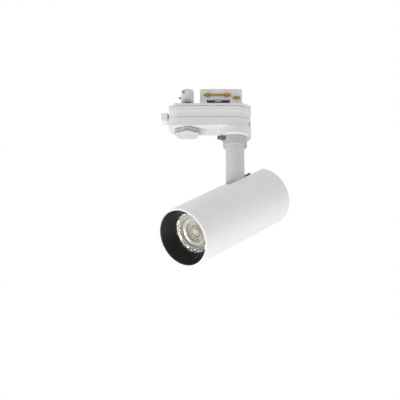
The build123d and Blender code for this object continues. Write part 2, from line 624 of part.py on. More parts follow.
# ---- head, built level with its tilt axis on Y and the front towards +X -------------------------
CAP_T = 2.5
BRACKET_T = 2.3
BRACKET_BACK = SLOT_FRONT + SEAT_GAP
BRACKET_FRONT = BRACKET_BACK + BRACKET_T
BULKHEAD_X = BRACKET_FRONT
BULKHEAD_T = 3.0
BRACKET_SCREWS_Z = (-5.5, 5.5)
BRACKET_HEAD_R = 2.5
BRACKET_HEAD_T = 1.2
EAR_R = 8.0
WASHER_R = 7.4
TILT_HEAD_R = 5.0
TILT_HEAD_T = 2.4
TILT_NUT_FLATS = 10.0
TILT_NUT_T = 3.2
TILT_END = 0.6           # bolt's end past its nut
DRIVER_HALF_W = 14.0
DRIVER_BELOW_AXIS = 3.0
DRIVER_TOP = TUBE_AXIS_Z - DRIVER_BELOW_AXIS
DRIVER_HEIGHT = 22.0
DRIVER_GAP = 2.0         # rear cap to the driver's case
DRIVER_REAR = -REAR_REACH + CAP_T + DRIVER_GAP
DRIVER_ROOM = 5.0        # case to the bulkhead
DRIVER_FRONT = BULKHEAD_X - DRIVER_ROOM
DRIVER_WALL = 1.5
DRIVER_BOARD_IN = 8.0
DRIVER_BOARD_END = 0.5
DRIVER_BOARD_W = 22.0
DRIVER_BOARD_T = 1.6
DRIVER_BLOCKS = (        # transformer and coil: start and end along the board, sides, height
    (12.0, 26.0, -7.0, 8.0, 11.4),
    (34.5, 40.5, -8.0, 8.0, 6.4),
)
DRIVER_CANS = ((4.0, 6.0, -5.0, 13.4), (3.0, 6.0, 6.0, 9.4))    # capacitors: radius, place, height
REAR_SCREWS_Y = (-9.0, 9.0)
REAR_SCREW_Z = TUBE_AXIS_Z - 14.0
REAR_SCREW_GRIP = 5.0    # screw's length inside the case
REAR_HEAD_R = 2.3
REAR_HEAD_T = 1.2
REAR_SOCKET_R = 1.0
REAR_SOCKET_DEPTH = 0.8
PILLAR_END_T = 0.8
TRAY_T = 1.0
TRAY_EDGE = 1.5          # tray's long edges to the tube
TRAY_NOTCH_W = 12.0
LENS_BEHIND = 1.0        # baffle's opening back to the lens, and chip to the lens's back
LENS_BACK_X = OPENING_X - LENS_BEHIND - LENS_HEIGHT
CHIP_T = 0.8
BOARD_T = 1.2
SINK_FRONT = LENS_BACK_X - CHIP_T - BOARD_T
SINK_BACK = BULKHEAD_X + BULKHEAD_T
SINK_BASE_T = 8.0
FIN_T = 1.8
FIN_PITCH = 5.6
TIE_R = 22.5
TIE_ANGLES = (-20.0, 200.0, 270.0)
TIE_SCREW_R = 1.5
TIE_HEAD_R = 2.7
TIE_HEAD_T = 2.0
TIE_GRIP = 10.0          # screw's length in the heat sink
TIE_HOLE = 12.0
TIE_POST_R = 3.4
LED_LEAD_R = 0.9
LED_LEADS_Y = (-1.5, 1.5)
LED_LEAD_HOLE_R = 4.0
LED_LEAD_Z = TUBE_AXIS_Z - 7.5


def head_tube():
    """Front length of the round housing, from the end of the tilt slot to the rim."""
    tube = rod_x(TUBE_R, SLOT_FRONT, FRONT_REACH, 0, TUBE_AXIS_Z)
    tube = fillet(tube.edges().filter_by(GeomType.CIRCLE).sort_by(Axis.X)[-1], RIM_FILLET)
    return tube - rod_x(TUBE_BORE_R, SLOT_FRONT - OVERCUT, FRONT_REACH + OVERCUT, 0, TUBE_AXIS_Z)


def driver_tube():
    """Rear length of the housing, slotted along its top so that the head can tilt round the stem."""
    tube = rod_x(TUBE_R, -REAR_REACH, SLOT_FRONT, 0, TUBE_AXIS_Z)
    tube = fillet(tube.edges().filter_by(GeomType.CIRCLE).sort_by(Axis.X)[0], RIM_FILLET)
    x0, x1 = -REAR_REACH - OVERCUT, SLOT_FRONT + OVERCUT
    tube -= rod_x(TUBE_BORE_R, x0, x1, 0, TUBE_AXIS_Z)
    return tube - block(x0, x1, -SLOT_HALF, SLOT_HALF, 0, TUBE_R)


def rear_cap():
    """Flat rear cover, notched where the stem passes when the head points down."""
    cap = rod_x(FIT_R, -REAR_REACH, -REAR_REACH + CAP_T, 0, TUBE_AXIS_Z)
    cap -= block(-REAR_REACH - OVERCUT, 0, -SLOT_HALF, SLOT_HALF, SWEEP_BOTTOM, TUBE_R)
    for y in REAR_SCREWS_Y:
        cap -= rod_x(SCREW_R + CLOSE_FIT, -REAR_REACH - OVERCUT, 0, y, REAR_SCREW_Z)
    return cap


def rear_cap_screws():
    screws = []
    outer = -REAR_REACH - REAR_HEAD_T
    for y in REAR_SCREWS_Y:
        head = rod_x(REAR_HEAD_R, outer, -REAR_REACH, y, REAR_SCREW_Z)
        shank = rod_x(SCREW_R, -REAR_REACH, DRIVER_REAR + REAR_SCREW_GRIP, y, REAR_SCREW_Z)
        socket = rod_x(REAR_SOCKET_R, outer - OVERCUT, outer + REAR_SOCKET_DEPTH, y, REAR_SCREW_Z)
        screws.append(head + shank - socket)
    return Compound(children=screws)


def driver_case():
    """Closed box for the driver, with two pillars that the rear screws enter."""
    z0, z1 = DRIVER_TOP - DRIVER_HEIGHT, DRIVER_TOP
    box = block(DRIVER_REAR, DRIVER_FRONT, -DRIVER_HALF_W, DRIVER_HALF_W, z0, z1)
    w = DRIVER_WALL
    inner = block(DRIVER_REAR + w, DRIVER_FRONT - w, -DRIVER_HALF_W + w, DRIVER_HALF_W - w, z0 + w, z1 - w)
    box -= inner
    pillar_end = DRIVER_REAR + REAR_SCREW_GRIP + OVERCUT
    hole_start, hole_end = DRIVER_REAR - DRIVER_GAP - OVERCUT, pillar_end - PILLAR_END_T
    for y in REAR_SCREWS_Y:
        box += rod_x(POST_R, DRIVER_REAR - DRIVER_GAP, pillar_end, y, REAR_SCREW_Z)
    for y in REAR_SCREWS_Y:
        box -= rod_x(SCREW_R + CLOSE_FIT, hole_start, hole_end, y, REAR_SCREW_Z)
    return box


def driver_board():
    """Circuit board with its transformer, coils and capacitors, inside the case."""
    floor = DRIVER_TOP - DRIVER_HEIGHT + DRIVER_WALL
    x0, x1 = DRIVER_REAR + DRIVER_BOARD_IN, DRIVER_FRONT - DRIVER_WALL - DRIVER_BOARD_END
    half, top = DRIVER_BOARD_W / 2, floor + DRIVER_BOARD_T
    board = block(x0, x1, -half, half, floor, top)
    for start, end, y0, y1, height in DRIVER_BLOCKS:
        board += block(x0 + start, x0 + end, y0, y1, top - CLOSE_FIT, top + height)
    for r, along, y, height in DRIVER_CANS:
        board += disc(r, top - CLOSE_FIT, top + height, x0 + along, y)
    return board


def driver_tray():
    """Dark sheet over the driver, the floor of the tilt slot."""
    half = sqrt(FIT_R**2 - (TUBE_AXIS_Z - DRIVER_TOP) ** 2) - TRAY_EDGE
    x0, x1 = -REAR_REACH + CAP_T + CLOSE_FIT, BULKHEAD_X - CLOSE_FIT
    tray = block(x0, x1, -half, half, DRIVER_TOP, DRIVER_TOP + TRAY_T)
    z0, z1 = DRIVER_TOP - OVERCUT, DRIVER_TOP + TRAY_T + OVERCUT
    notch = TRAY_NOTCH_W / 2
    return tray - block(DRIVER_FRONT + OVERCUT, BULKHEAD_X + OVERCUT, -notch, notch, z0, z1)


def bulkhead():
    """Round plate between the hinge and the heat sink, drilled for the leads and screws."""
    plate = rod_x(FIT_R, BULKHEAD_X, BULKHEAD_X + BULKHEAD_T, 0, TUBE_AXIS_Z)
    plate -= rod_x(LED_LEAD_HOLE_R, 0, FAR, 0, LED_LEAD_Z)
    for z in BRACKET_SCREWS_Z:
        plate -= rod_x(TIE_SCREW_R + CLOSE_FIT, 0, FAR, 0, z)
    for y, z in tie_places():
        plate -= rod_x(TIE_SCREW_R + CLOSE_FIT, 0, FAR, y, z)
    return plate


def tie_places():
    return [
        (TIE_R * cos(radians(a)), TUBE_AXIS_Z + TIE_R * sin(radians(a)))
        for a in TIE_ANGLES
    ]


def tie_screws():
    """Long screws that pull the bulkhead and heat sink together."""
    screws = [
        rod_x(TIE_HEAD_R, BULKHEAD_X - TIE_HEAD_T, BULKHEAD_X, y, z)
        + rod_x(TIE_SCREW_R, BULKHEAD_X, SINK_BACK + TIE_GRIP, y, z)
        for y, z in tie_places()
    ]
    return Compound(children=screws)


def hinge_bracket():
    """Folded bracket whose two ears hold the tilt pin."""
    ears = block(0, BRACKET_FRONT, -EAR_OUT, EAR_OUT, -EAR_R, EAR_R) + rod_y(EAR_R, -EAR_OUT, EAR_OUT)
    out = EAR_R + OVERCUT
    ears -= block(-out, BRACKET_BACK, -EAR_IN, EAR_IN, -out, out)
    ears -= rod_y(TILT_PIN_R + CLOSE_FIT / 2, -FAR, FAR)
    for z in BRACKET_SCREWS_Z:
        ears -= rod_x(TIE_SCREW_R + CLOSE_FIT, 0, FAR, 0, z)
        ears -= rod_x(BRACKET_HEAD_R + CLOSE_FIT, 0, BRACKET_BACK + BRACKET_HEAD_T, 0, z)
    return ears


def bracket_screws():
    seat = BRACKET_BACK + BRACKET_HEAD_T
    screws = [
        rod_x(BRACKET_HEAD_R, BRACKET_BACK + CLOSE_FIT, seat, 0, z)
        + rod_x(TIE_SCREW_R, seat, BULKHEAD_X + BULKHEAD_T - SEAT_GAP, 0, z)
        for z in BRACKET_SCREWS_Z
    ]
    return Compound(children=screws)


def friction_washers():
    """Thin washers between the stem's flats and the ears."""
    washer = rod_y(WASHER_R, STEM_FLAT + RUN_FIT, STEM_FLAT + RUN_FIT + WASHER_T)
    washer -= rod_y(TILT_PIN_R + CLOSE_FIT, 0, FAR)
    return washer + mirror(washer, Plane.XZ)


def tilt_bolt():
    """Shouldered bolt that is the tilt axle."""
    head = rod_y(TILT_HEAD_R, -EAR_OUT - TILT_HEAD_T, -EAR_OUT)
    return head + rod_y(TILT_PIN_R, -EAR_OUT, EAR_OUT + TILT_NUT_T + TILT_END)


def tilt_nut():
    nut = Rot(-90, 0, 0) * hexagon(TILT_NUT_FLATS, EAR_OUT, EAR_OUT + TILT_NUT_T)
    return nut - rod_y(TILT_PIN_R + RUN_FIT, 0, FAR)


def heat_sink():
    """Turned base that fills the tube, with straight fins behind it."""
    sink = rod_x(FIT_R, SINK_BACK, SINK_FRONT, 0, TUBE_AXIS_Z)
    count = int(FIT_R / FIN_PITCH) + 1
    for i in range(-count, count):
        y = (i + 0.5) * FIN_PITCH
        half = (FIN_PITCH - FIN_T) / 2
        sink -= block(SINK_BACK - OVERCUT, SINK_FRONT - SINK_BASE_T, y - half, y + half, -FAR, FAR)
    for y, z in tie_places():
        sink += rod_x(TIE_POST_R, SINK_BACK, SINK_FRONT, y, z)
    for y, z in tie_places():
        sink -= rod_x(TIE_SCREW_R + CLOSE_FIT, SINK_BACK - OVERCUT, SINK_BACK + TIE_HOLE, y, z)
    sink -= rod_x(LED_LEAD_HOLE_R, 0, SINK_FRONT - SINK_BASE_T, 0, LED_LEAD_Z)
    for y in LED_LEADS_Y:
        sink -= rod_x(LED_LEAD_R + CLOSE_FIT, 0, FAR, y, LED_LEAD_Z)
    return sink


def led_leads():
    """Two insulated leads from the driver to the back of the light source's board."""
    leads = [rod_x(LED_LEAD_R, DRIVER_FRONT, SINK_FRONT, y, LED_LEAD_Z) for y in LED_LEADS_Y]
    return Compound(children=leads)


BOARD_W = 19.0
CHIP_R = 7.0
HOLDER_T = 3.4
HOLDER_R = 19.0
HOLDER_FIT = 0.7         # round the lens's back
LED_SCREW_HEAD_R = 1.9
LED_SCREW_HEAD_T = 1.2
LED_SCREW_Y = HOLDER_R - LED_SCREW_HEAD_R - 2 * CLOSE_FIT


def led_board():
    half = BOARD_W / 2
    return block(SINK_FRONT, SINK_FRONT + BOARD_T, -half, half, TUBE_AXIS_Z - half, TUBE_AXIS_Z + half)


def led_chip():
    """Round light-giving patch on the board."""
    return rod_x(CHIP_R, SINK_FRONT + BOARD_T, SINK_FRONT + BOARD_T + CHIP_T, 0, TUBE_AXIS_Z)


def led_holder():
    """Ring that clamps the board to the heat sink and locates the lens holder."""
    x0 = SINK_FRONT
    holder = rod_x(HOLDER_R, x0, x0 + HOLDER_T, 0, TUBE_AXIS_Z)
    holder -= rod_x(LENS_BACK_R + HOLDER_FIT, 0, FAR, 0, TUBE_AXIS_Z)
    half = BOARD_W / 2 + CLOSE_FIT
    z0, z1 = TUBE_AXIS_Z - half, TUBE_AXIS_Z + half
    holder -= block(x0 - OVERCUT, x0 + BOARD_T + RUN_FIT, -half, half, z0, z1)
    for y in (-LED_SCREW_Y, LED_SCREW_Y):
        holder -= rod_x(SCREW_R + CLOSE_FIT, 0, FAR, y, TUBE_AXIS_Z)
    return holder


def led_screws():
    x0 = SINK_FRONT + HOLDER_T
    screws = [
        rod_x(LED_SCREW_HEAD_R, x0, x0 + LED_SCREW_HEAD_T, y, TUBE_AXIS_Z)
        + rod_x(SCREW_R, SINK_FRONT + CLOSE_FIT, x0, y, TUBE_AXIS_Z)
        for y in (-LED_SCREW_Y, LED_SCREW_Y)
    ]
    return Compound(children=screws)


LENS_FRONT_X = OPENING_X - LENS_BEHIND
LENS_RIM_R = 24.0
LENS_RIM_T = 3.0
LENS_RIM_STEP = 2.0      # rim's overhang past the cone behind it
LENS_BACK_R = 9.5
LENS_WELL = 2.0          # depth of the well round the lens's dome
LENS_WELL_IN_R = 8.0
LENS_WELL_OUT_R = 10.0
LENS_DOME_R = 11.0
LENS_HOLLOW = (6.2, 4.5)     # mouth and end radius of the hollow over the light source
LENS_HOLLOW_DEPTH = 6.0
LENS_HOLLOW_TIP = 1.0
CUP_BACK_R = (12.6, 13.8)    # inner and outer radius at the cup's back
CUP_FRONT = 0.6          # baffle's opening back to the cup's front edge
CUP_WALL = 1.6
CUP_LIP = 5.0            # length of the cup's straight front
CUP_LEDGE = 0.6          # overlap of the cup's ledge behind the lens's rim
BAFFLE_BACK = 0.4        # baffle's opening back to its flange
BAFFLE_FRONT = 0.8       # rim back to the baffle's front edge
BAFFLE_EDGE = (0.9, 0.4)     # tube's bore in to the baffle's front lip
BAFFLE_LIP = 0.6
BAFFLE_BAND = 3.0
BAFFLE_WALL = 1.9
BAFFLE_FLANGE_T = 0.8
BAFFLE_FLANGE_W = 3.0


def lens():
    """Solid collimator: domed in front, hollow over the light source."""
    x0, x1 = LENS_BACK_X + LENS_BEHIND, LENS_FRONT_X
    dome_edge = x1 - LENS_WELL
    centre = x1 - LENS_DOME_R
    half = acos((dome_edge - centre) / LENS_DOME_R)
    hollow_end, (mouth_r, end_r) = x0 + LENS_HOLLOW_DEPTH, LENS_HOLLOW
    arc_points = [(centre + LENS_DOME_R * cos(a), LENS_DOME_R * sin(a)) for a in (0, half / 2, half)]
    outline = [
        arc_points[2], (dome_edge, LENS_WELL_IN_R), (x1, LENS_WELL_OUT_R), (x1, LENS_RIM_R),
        (x1 - LENS_RIM_T, LENS_RIM_R), (x1 - LENS_RIM_T, LENS_RIM_R - LENS_RIM_STEP), (x0, LENS_BACK_R),
        (x0, mouth_r), (hollow_end, end_r), (hollow_end + LENS_HOLLOW_TIP, 0.0), arc_points[0],
    ]
    sides = Polyline([(x, 0, TUBE_AXIS_Z + r) for x, r in outline])
    dome = ThreePointArc(*[(x, 0, TUBE_AXIS_Z + r) for x, r in arc_points])
    return revolve(make_face(sides + dome), Axis((0, 0, TUBE_AXIS_Z), (1, 0, 0)), 360)


def lens_holder():
    """Tapered cup round the lens, seated on the ring that holds the light source."""
    x0, x1 = SINK_FRONT + HOLDER_T, OPENING_X - CUP_FRONT
    seat = LENS_FRONT_X - LENS_RIM_T - RUN_FIT
    inner, outer = LENS_RIM_R + 2 * CLOSE_FIT, LENS_RIM_R + CUP_WALL
    return around_tube([
        (x0, CUP_BACK_R[0]), (x0, CUP_BACK_R[1]), (x1 - CUP_LIP, outer), (x1, outer),
        (x1, inner), (seat, inner), (seat, LENS_RIM_R - CUP_LEDGE),
    ])


def baffle():
    """Tapered anti-glare baffle from the lens out to the rim."""
    x0, x1 = OPENING_X - BAFFLE_BACK, FRONT_REACH - BAFFLE_FRONT
    flange_front, flange_r = x0 + BAFFLE_FLANGE_T, LENS_RIM_R + BAFFLE_FLANGE_W
    back, front = BAFFLE_EDGE
    return around_tube([
        (x0, LENS_R), (x1 - BAFFLE_LIP, TUBE_BORE_R - back), (x1, TUBE_BORE_R - front), (x1, FIT_R),
        (x1 - BAFFLE_BAND, FIT_R), (flange_front, LENS_R + BAFFLE_WALL), (flange_front, flange_r),
        (x0, flange_r),
    ])


# ---- assembly -----------------------------------------------------------------------------------
TO_PAN = Rot(0, 0, PAN_HEADING)
TO_HEAD = Pos(0, 0, -PIVOT_DROP) * Rot(0, 0, PAN_HEADING) * Rot(0, TILT_DOWN, 0)

ADAPTER = (
    lower_housing, upper_housing, cover_plate, contact_tongue, neutral_contact, earth_contacts,
    housing_screws, terminal_block, terminal_screws, locking_lever, lock_cam, rear_lock_cam, lock_link,
    selector_knob, selector_shaft, contact_turret, phase_contacts,
)
PAN = (collar, pan_lock_screw, stem, pan_nipple, stop_washer, spring_washer, pan_nut, stem_lead)
HEAD = (
    head_tube, driver_tube, rear_cap, rear_cap_screws, driver_case, driver_board, driver_tray, bulkhead,
    tie_screws, hinge_bracket, bracket_screws, friction_washers, tilt_bolt, tilt_nut, heat_sink,
    led_leads, led_board, led_chip, led_holder, led_screws, lens, lens_holder, baffle,
)


def main():
    os.makedirs("parts", exist_ok=True)
    placed = [(make, Pos(0, 0, 0)) for make in ADAPTER]
    placed += [(make, TO_PAN) for make in PAN]
    placed += [(make, TO_HEAD) for make in HEAD]
    for make, place in placed:
        export_step(place * make(), f"parts/{make.__name__}.step")


main()
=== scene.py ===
"""Looks of the track spotlight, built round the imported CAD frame.

Lengths are in metres unless a name ends in _MM or _mm, and every piece lies where its CAD node does.
"""
import json
from math import atan2, cos, pi, radians

import bmesh
import bpy
from mathutils import Matrix, Vector


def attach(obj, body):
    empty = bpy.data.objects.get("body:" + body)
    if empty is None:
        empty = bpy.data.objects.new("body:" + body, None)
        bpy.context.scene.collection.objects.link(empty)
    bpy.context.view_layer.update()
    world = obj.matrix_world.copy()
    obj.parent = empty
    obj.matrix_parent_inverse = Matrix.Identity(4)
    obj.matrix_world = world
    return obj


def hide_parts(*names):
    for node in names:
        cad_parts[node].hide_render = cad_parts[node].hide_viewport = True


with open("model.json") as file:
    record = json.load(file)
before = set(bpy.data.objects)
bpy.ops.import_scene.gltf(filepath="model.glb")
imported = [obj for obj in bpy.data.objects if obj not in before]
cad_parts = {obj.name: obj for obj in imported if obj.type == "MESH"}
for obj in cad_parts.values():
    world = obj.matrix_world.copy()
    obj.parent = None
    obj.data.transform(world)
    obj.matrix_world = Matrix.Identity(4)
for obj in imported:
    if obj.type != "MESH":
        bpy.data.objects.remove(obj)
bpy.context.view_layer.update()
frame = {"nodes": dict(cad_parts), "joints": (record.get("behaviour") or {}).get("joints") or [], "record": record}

NODES = frame["nodes"]
JOINTS = {joint["name"]: joint for joint in frame["joints"]}
MM = 0.001
MERGE = 1e-7             # points nearer than this are one
CAD_MERGE = 1e-6         # the same for the loose triangles of a CAD node
FLAT_ANGLE = 0.5         # degrees between two triangles below which they are one face

# ---- the head's own axes, from the tilt joint ---------------------------------------------------
TILT = JOINTS["tilt"]
TILT_DOWN = -radians(TILT["range_deg"][0])
HEADING = atan2(TILT["axis"][1], TILT["axis"][0]) - pi / 2
HEAD = (
    Matrix.Translation(Vector(TILT["pos_m"]))
    @ Matrix.Rotation(HEADING, 4, "Z")
    @ Matrix.Rotation(TILT_DOWN, 4, "Y")
)
TUBE_AXIS_BELOW_PIVOT = 11.1 * MM
TUBE = HEAD @ Matrix.Translation((0, 0, -TUBE_AXIS_BELOW_PIVOT))
IN_TUBE = TUBE.inverted()


def along_tube(node):
    """Where a CAD node starts and ends along the tube, from the tilt axis towards the front."""
    places = [(IN_TUBE @ vertex.co).x for vertex in NODES[node].data.vertices]
    return min(places), max(places)


def radius_of(node):
    """Largest distance of a CAD node from the tube's axis."""
    return max((IN_TUBE @ vertex.co).yz.length for vertex in NODES[node].data.vertices)


# ---- material helpers ---------------------------------------------------------------------------
def linear(hex_colour):
    """sRGB hex value as linear RGBA."""
    values = [int(hex_colour[i:i + 2], 16) / 255 for i in (1, 3, 5)]
    return [v / 12.92 if v <= 0.04045 else ((v + 0.055) / 1.055) ** 2.4 for v in values] + [1.0]


def add(tree, kind, inputs=None, **settings):
    """Adds a node with its settings; an input takes a value or another node's output."""
    made = tree.nodes.new(kind)
    for name, value in settings.items():
        setattr(made, name, value)
    for name, value in (inputs or {}).items():
        if isinstance(value, bpy.types.NodeSocket):
            tree.links.new(value, made.inputs[name])
        else:
            made.inputs[name].default_value = value
    return made


def per_metre(size_mm):
    """Pattern scale whose features are about this size."""
    return 1 / (size_mm * MM)


def new_material(name):
    """An empty node material and its tree."""
    material = bpy.data.materials.new(name)
    material.use_nodes = True
    tree = material.node_tree
    tree.nodes.clear()
    return material, tree


def finish_surface(tree, shader):
    """Makes this shader the surface that shows."""
    add(tree, "ShaderNodeOutputMaterial", {"Surface": shader})


def object_point(tree):
    """Where a point lies on its piece, in metres."""
    return add(tree, "ShaderNodeTexCoord").outputs["Object"]


def shade_between(tree, amount, low, high):
    """Colour that runs from low to high as the amount does."""
    ramp = add(tree, "ShaderNodeValToRGB", {"Fac": amount})
    ramp.color_ramp.elements[0].color = linear(low)
    ramp.color_ramp.elements[1].color = linear(high)
    return ramp.outputs["Color"]


def between(tree, amount, low, high):
    """Number that runs from low to high as the amount does."""
    made = add(tree, "ShaderNodeMapRange", {"Value": amount, "To Min": low, "To Max": high})
    return made.outputs["Result"]


def relief(tree, height, strength, depth_mm):
    """Bumped normal whose deepest point lies this far in."""
    made = add(tree, "ShaderNodeBump", {
        "Height": height, "Strength": strength, "Distance": depth_mm * MM,
    })
    return made.outputs["Normal"]


# ---- finishes -----------------------------------------------------------------------------------
def powder_coat(name, low, high):
    """Satin polyester powder on aluminium: an even skin with a soft orange-peel ripple."""
    material, tree = new_material(name)
    point = object_point(tree)
    # The ripple of real powder is about 1 mm across, and its tone drifts over some 20 mm.
    ripple = add(tree, "ShaderNodeTexNoise", {"Vector": point, "Scale": per_metre(1.1), "Detail": 1.5})
    cloud = add(tree, "ShaderNodeTexNoise", {"Vector": point, "Scale": per_metre(22.0), "Detail": 2.0})
    colour = shade_between(tree, cloud.outputs["Fac"], low, high)
    rough = between(tree, ripple.outputs["Fac"], 0.36, 0.46)
    bump = relief(tree, ripple.outputs["Fac"], 0.22, 0.05)
    shader = add(tree, "ShaderNodeBsdfPrincipled", {
        "Base Color": colour, "Roughness": rough, "IOR": 1.5, "Normal": bump,
    })
    finish_surface(tree, shader.outputs["BSDF"])
    return material


def moulded_plastic(name, low, high, grain_mm, roughness, gloss=0.5):
    """Injection-moulded plastic with the fine grain of a spark-eroded tool: even, with no clear image."""
    material, tree = new_material(name)
    point = object_point(tree)
    # Real spark grain is about 0.1 mm, too fine to show, so it is drawn some five times coarser.
    grain = add(tree, "ShaderNodeTexNoise", {"Vector": point, "Scale": per_metre(grain_mm), "Detail": 3.0})
    flow = add(tree, "ShaderNodeTexNoise", {"Vector": point, "Scale": per_metre(16.0), "Detail": 2.0})
    colour = shade_between(tree, flow.outputs["Fac"], low, high)
    rough = between(tree, grain.outputs["Fac"], roughness - 0.05, roughness + 0.07)
    bump = relief(tree, grain.outputs["Fac"], 0.3, 0.04)
    shader = add(tree, "ShaderNodeBsdfPrincipled", {
        "Base Color": colour, "Roughness": rough, "IOR": 1.58, "Specular IOR Level": gloss,
        "Normal": bump,
    })
    finish_surface(tree, shader.outputs["BSDF"])
    return material


def metal(name, low, high, streak_mm, roughness):
    """Bare or plated metal with faint drawn streaks and a cloudy skin, so its glint is broken up."""
    material, tree = new_material(name)
    point = object_point(tree)
    # Real tool marks are about 0.1 mm apart, so the streaks are drawn a few times coarser.
    stretched = add(tree, "ShaderNodeMapping", {"Vector": point, "Scale": (1.0, 1.0, 0.08)})
    streak = add(tree, "ShaderNodeTexNoise", {
        "Vector": stretched.outputs["Vector"], "Scale": per_metre(streak_mm), "Detail": 4.0,
    })
    cloud = add(tree, "ShaderNodeTexNoise", {"Vector": point, "Scale": per_metre(5.0), "Detail": 3.0})
    colour = shade_between(tree, cloud.outputs["Fac"], low, high)
    rough = between(tree, streak.outputs["Fac"], roughness - 0.08, roughness + 0.12)
    bump = relief(tree, streak.outputs["Fac"], 0.25, 0.02)
    shader = add(tree, "ShaderNodeBsdfPrincipled", {
        "Base Color": colour, "Roughness": rough, "Metallic": 1.0, "Normal": bump,
    })
    finish_surface(tree, shader.outputs["BSDF"])
    return material


def acrylic_painted_reflection():
    """Moulded optical acrylic over its own mirror-like flanks, drawn bright, pearly and a little warm as painted
    reflection of the phosphor and the lit inside.
    """
    material, tree = new_material("acrylic_painted_reflection")
    point = object_point(tree)
    # The front's optical ripple is about 5 mm across, and the same ripple drifts the warm colour as blotchy
    # painted reflection.
    wave = add(tree, "ShaderNodeTexNoise", {"Vector": point, "Scale": per_metre(5.0), "Detail": 2.0})
    # Painted reflection: the clear acrylic is drawn as a warm near-white, for the phosphor's light seen in it.
    colour = shade_between(tree, wave.outputs["Fac"], "#FBF6E7", "#FFFDF6")
    bump = relief(tree, wave.outputs["Fac"], 0.5, 0.5)
    shader = add(tree, "ShaderNodeBsdfPrincipled", {
        "Base Color": colour, "Roughness": 0.03, "IOR": 1.49,
        "Transmission Weight": 0.25, "Normal": bump,
    })
    finish_surface(tree, shader.outputs["BSDF"])
    return material


def mirror_facets():
    """Facets of the lens that turn back all light inside them, so the eye sees silver sparkles."""
    material, tree = new_material("total_reflection_facets")
    point = object_point(tree)
    # Each facet breaks up what it mirrors into specks of 1 to 2 mm.
    speck = add(tree, "ShaderNodeTexVoronoi", {"Vector": point, "Scale": per_metre(1.6)})
    colour = shade_between(tree, speck.outputs["Distance"], "#FFFEFA", "#CFCCC1")
    bump = relief(tree, speck.outputs["Distance"], 1.0, 0.5)
    shader = add(tree, "ShaderNodeBsdfPrincipled", {
        "Base Color": colour, "Roughness": 0.05, "Metallic": 0.85, "Normal": bump,
    })
    finish_surface(tree, shader.outputs["BSDF"])
    return material


def phosphor():
    """Silicone over phosphor: a soft yellow pad, with the dies under it showing as a faint grid."""
    material, tree = new_material("phosphor_silicone")
    point = object_point(tree)
    # The dies stand about 1.3 mm apart.
    dies = add(
        tree, "ShaderNodeTexVoronoi", {"Vector": point, "Scale": per_metre(1.3)}, distance="CHEBYCHEV"
    )
    colour = shade_between(tree, dies.outputs["Distance"], "#F6E3A0", "#E9CC74")
    shader = add(tree, "ShaderNodeBsdfPrincipled", {
        "Base Color": colour, "Roughness": 0.35, "IOR": 1.41,
        "Subsurface Weight": 0.2, "Subsurface Scale": 1.0 * MM,
    })
    finish_surface(tree, shader.outputs["BSDF"])
    return material


# Polyester powder coat: satin white on the drawn tube. The turned steel stem and the zinc casting of the collar
# get greyer copies of the same white, as painted shade under the adapter.
# The tube's inside and the slot's cut edges get a dark grey, as painted shade for the shadow in the slot.
WHITE_POWDER = powder_coat("white_powder_coat", "#F1F1F1", "#F7F7F7")
# Painted shade: a greyer copy of the white powder for the stem, and a still greyer one for the collar under the
# boss.
STEM_POWDER_PAINTED_SHADE = powder_coat("white_powder_stem_painted_shade", "#DEDEDE", "#E4E4E4")
COLLAR_POWDER_PAINTED_SHADE = powder_coat("white_powder_collar_painted_shade", "#CACACA", "#D1D1D1")
# Painted shade: dark grey for the tube's inner wall and the slot's cut edges, where the slot shows shadow.
INSIDE_PAINTED_SHADE = powder_coat("painted_shade_inside_tube", "#4A4A4A", "#5A5A5A")
# Polycarbonate: the housings are a soft, even white.
WHITE_PLASTIC = moulded_plastic("white_polycarbonate", "#F0F0F0", "#F6F6F6", 0.7, 0.46)
# The same resin, a little smoother, on the small moulded fittings.
GREY_PLASTIC = moulded_plastic("pale_grey_polycarbonate", "#F2F3F3", "#F7F8F8", 0.7, 0.42)
# Grey polycarbonate: polished on the knob's end, which glints, and grained on its side, which doesn't; the side is
# also drawn darker grey as painted shade under the housing.
KNOB_PLASTIC = moulded_plastic("polished_grey_polycarbonate", "#E6E8E8", "#EDEEEE", 0.9, 0.16)
KNOB_SIDE_PAINTED_SHADE = moulded_plastic("grey_polycarbonate_side_painted_shade", "#B4B6B7", "#BDBFBF", 0.9, 0.5)
# Matt black polycarbonate: takes the glare off, and keeps only a dull sheen.
BLACK_PLASTIC = moulded_plastic("matt_black_polycarbonate", "#0E0E0F", "#161617", 0.5, 0.5, gloss=0.4)
# Unglazed steatite: chalky, a little warm.
CERAMIC = moulded_plastic("white_ceramic", "#DDDCD6", "#E6E5E0", 0.4, 0.55)
# Epoxy solder mask: smooth and slightly glossy green.
BOARD_GREEN = moulded_plastic("solder_mask", "#1E5A32", "#2A6E3E", 0.9, 0.35)
# Silicone rubber sleeve: soft, waxy grey.
SHEATH = moulded_plastic("silicone_sheath", "#D2D0CB", "#DCDAD5", 1.4, 0.5)
# Bright zinc plate on steel: bluish, cloudy and fairly shiny.
ZINC = metal("bright_zinc_plate", "#B4B8BC", "#CDD0D3", 0.6, 0.3)
# Turned aluminium: pale, with fine tool streaks.
ALUMINIUM = metal("turned_aluminium", "#BFC1C3", "#D3D5D6", 0.35, 0.34)
# Rolled brass strip: warm yellow with a soft shine.
BRASS = metal("rolled_brass", "#B8924B", "#D4B06A", 0.5, 0.28)
# Black oxide on steel: worn to a dark grey that still glints.
BLACK_OXIDE = metal("black_oxide_steel", "#747474", "#909090", 0.5, 0.34)
ACRYLIC_PAINTED_REFLECTION = acrylic_painted_reflection()
FACETS = mirror_facets()
PHOSPHOR = phosphor()

